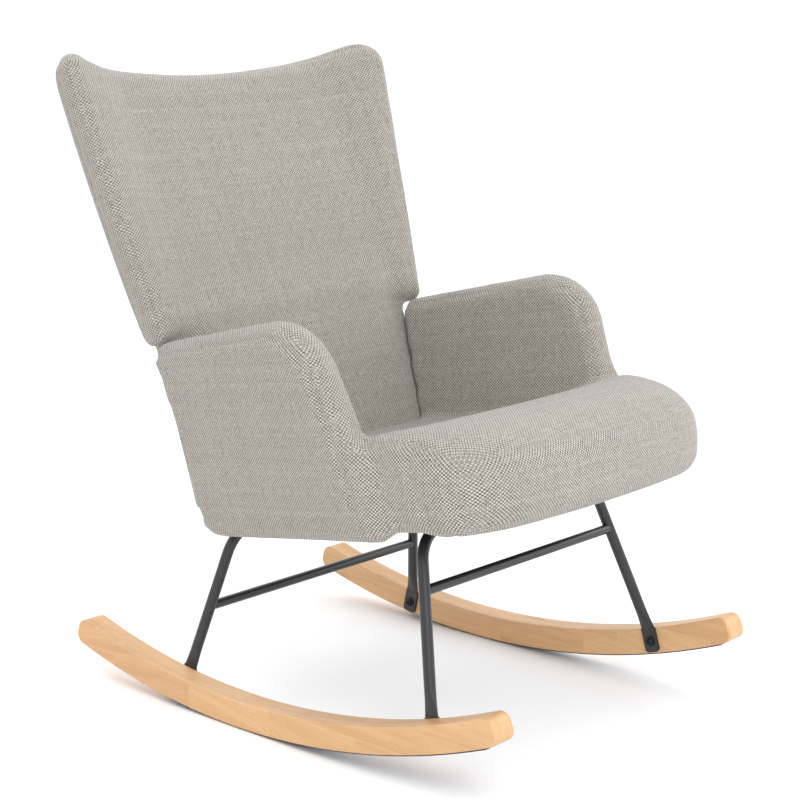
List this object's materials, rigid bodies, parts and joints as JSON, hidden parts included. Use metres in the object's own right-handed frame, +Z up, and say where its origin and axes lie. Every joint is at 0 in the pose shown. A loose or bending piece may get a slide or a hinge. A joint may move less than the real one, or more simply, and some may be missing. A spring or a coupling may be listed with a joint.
{
  "type": "rocking chair",
  "caption": "Wing-back rocking chair with an upholstered seat, arms and back on bent steel tube leg frames, each side standing on a curved wooden rocker.",
  "frame": {"origin": "on the floor, at the middle of the chair's footprint", "axes": "+X to the chair's left-right, across the seat; -Y is the way a sitter faces; +Z up; X = 0 is the plane of symmetry"},
  "size_m": [0.653, 0.868, 0.9408],
  "materials": {
    "satin_black_steel": "satin powder coat",
    "black_fastener": "black oxide",
    "zinc_steel": "zinc plated",
    "oiled_hardwood": "clear satin lacquer, finger jointed",
    "frame_timber": "planed, unfinished",
    "plywood": "sanded, unfinished",
    "black_rubber": "matt, finely ribbed",
    "woven_fabric": "chunky basket weave, taupe with cream and dark yarns",
    "foam": "open-cell foam",
    "webbing": "woven elastic webbing",
    "lining": "thin non-woven lining"
  },
  "bodies": {
    "root": {"rocker_left": "oiled_hardwood", "rocker_right": "oiled_hardwood", "antislip_strip_left": "black_rubber", "antislip_strip_right": "black_rubber", "front_leg_frame": "satin_black_steel", "rear_leg_frame": "satin_black_steel", "front_stretcher": "satin_black_steel", "rear_stretcher": "satin_black_steel", "front_mounting_plates": "satin_black_steel", "rear_mounting_plates": "satin_black_steel", "rocker_washers": "black_fastener", "rocker_bolts": "black_fastener", "rocker_insert_nuts": "zinc_steel", "leg_frame_washers": "black_fastener", "leg_frame_bolts": "black_fastener", "seat_tee_nuts": "zinc_steel", "seat_base_board": "plywood", "arm_panel_right": "plywood", "arm_panel_left": "plywood", "seat_rear_rail": "frame_timber", "seat_front_rail": "frame_timber", "seat_webbing": "webbing", "seat_foam": "foam", "arm_foam_right": "foam", "arm_foam_left": "foam", "underside_cloth": "lining", "seat_cover": "woven_fabric", "back_upright_right": "frame_timber", "back_upright_left": "frame_timber", "back_bottom_rail": "frame_timber", "back_middle_rail": "frame_timber", "back_top_rail": "frame_timber", "back_webbing": "webbing", "wing_panel_right": "plywood", "wing_panel_left": "plywood", "back_washers": "black_fastener", "back_bolts": "black_fastener", "back_tee_nuts": "zinc_steel", "back_foam": "foam", "back_cover": "woven_fabric"}
  },
  "joints": []
}
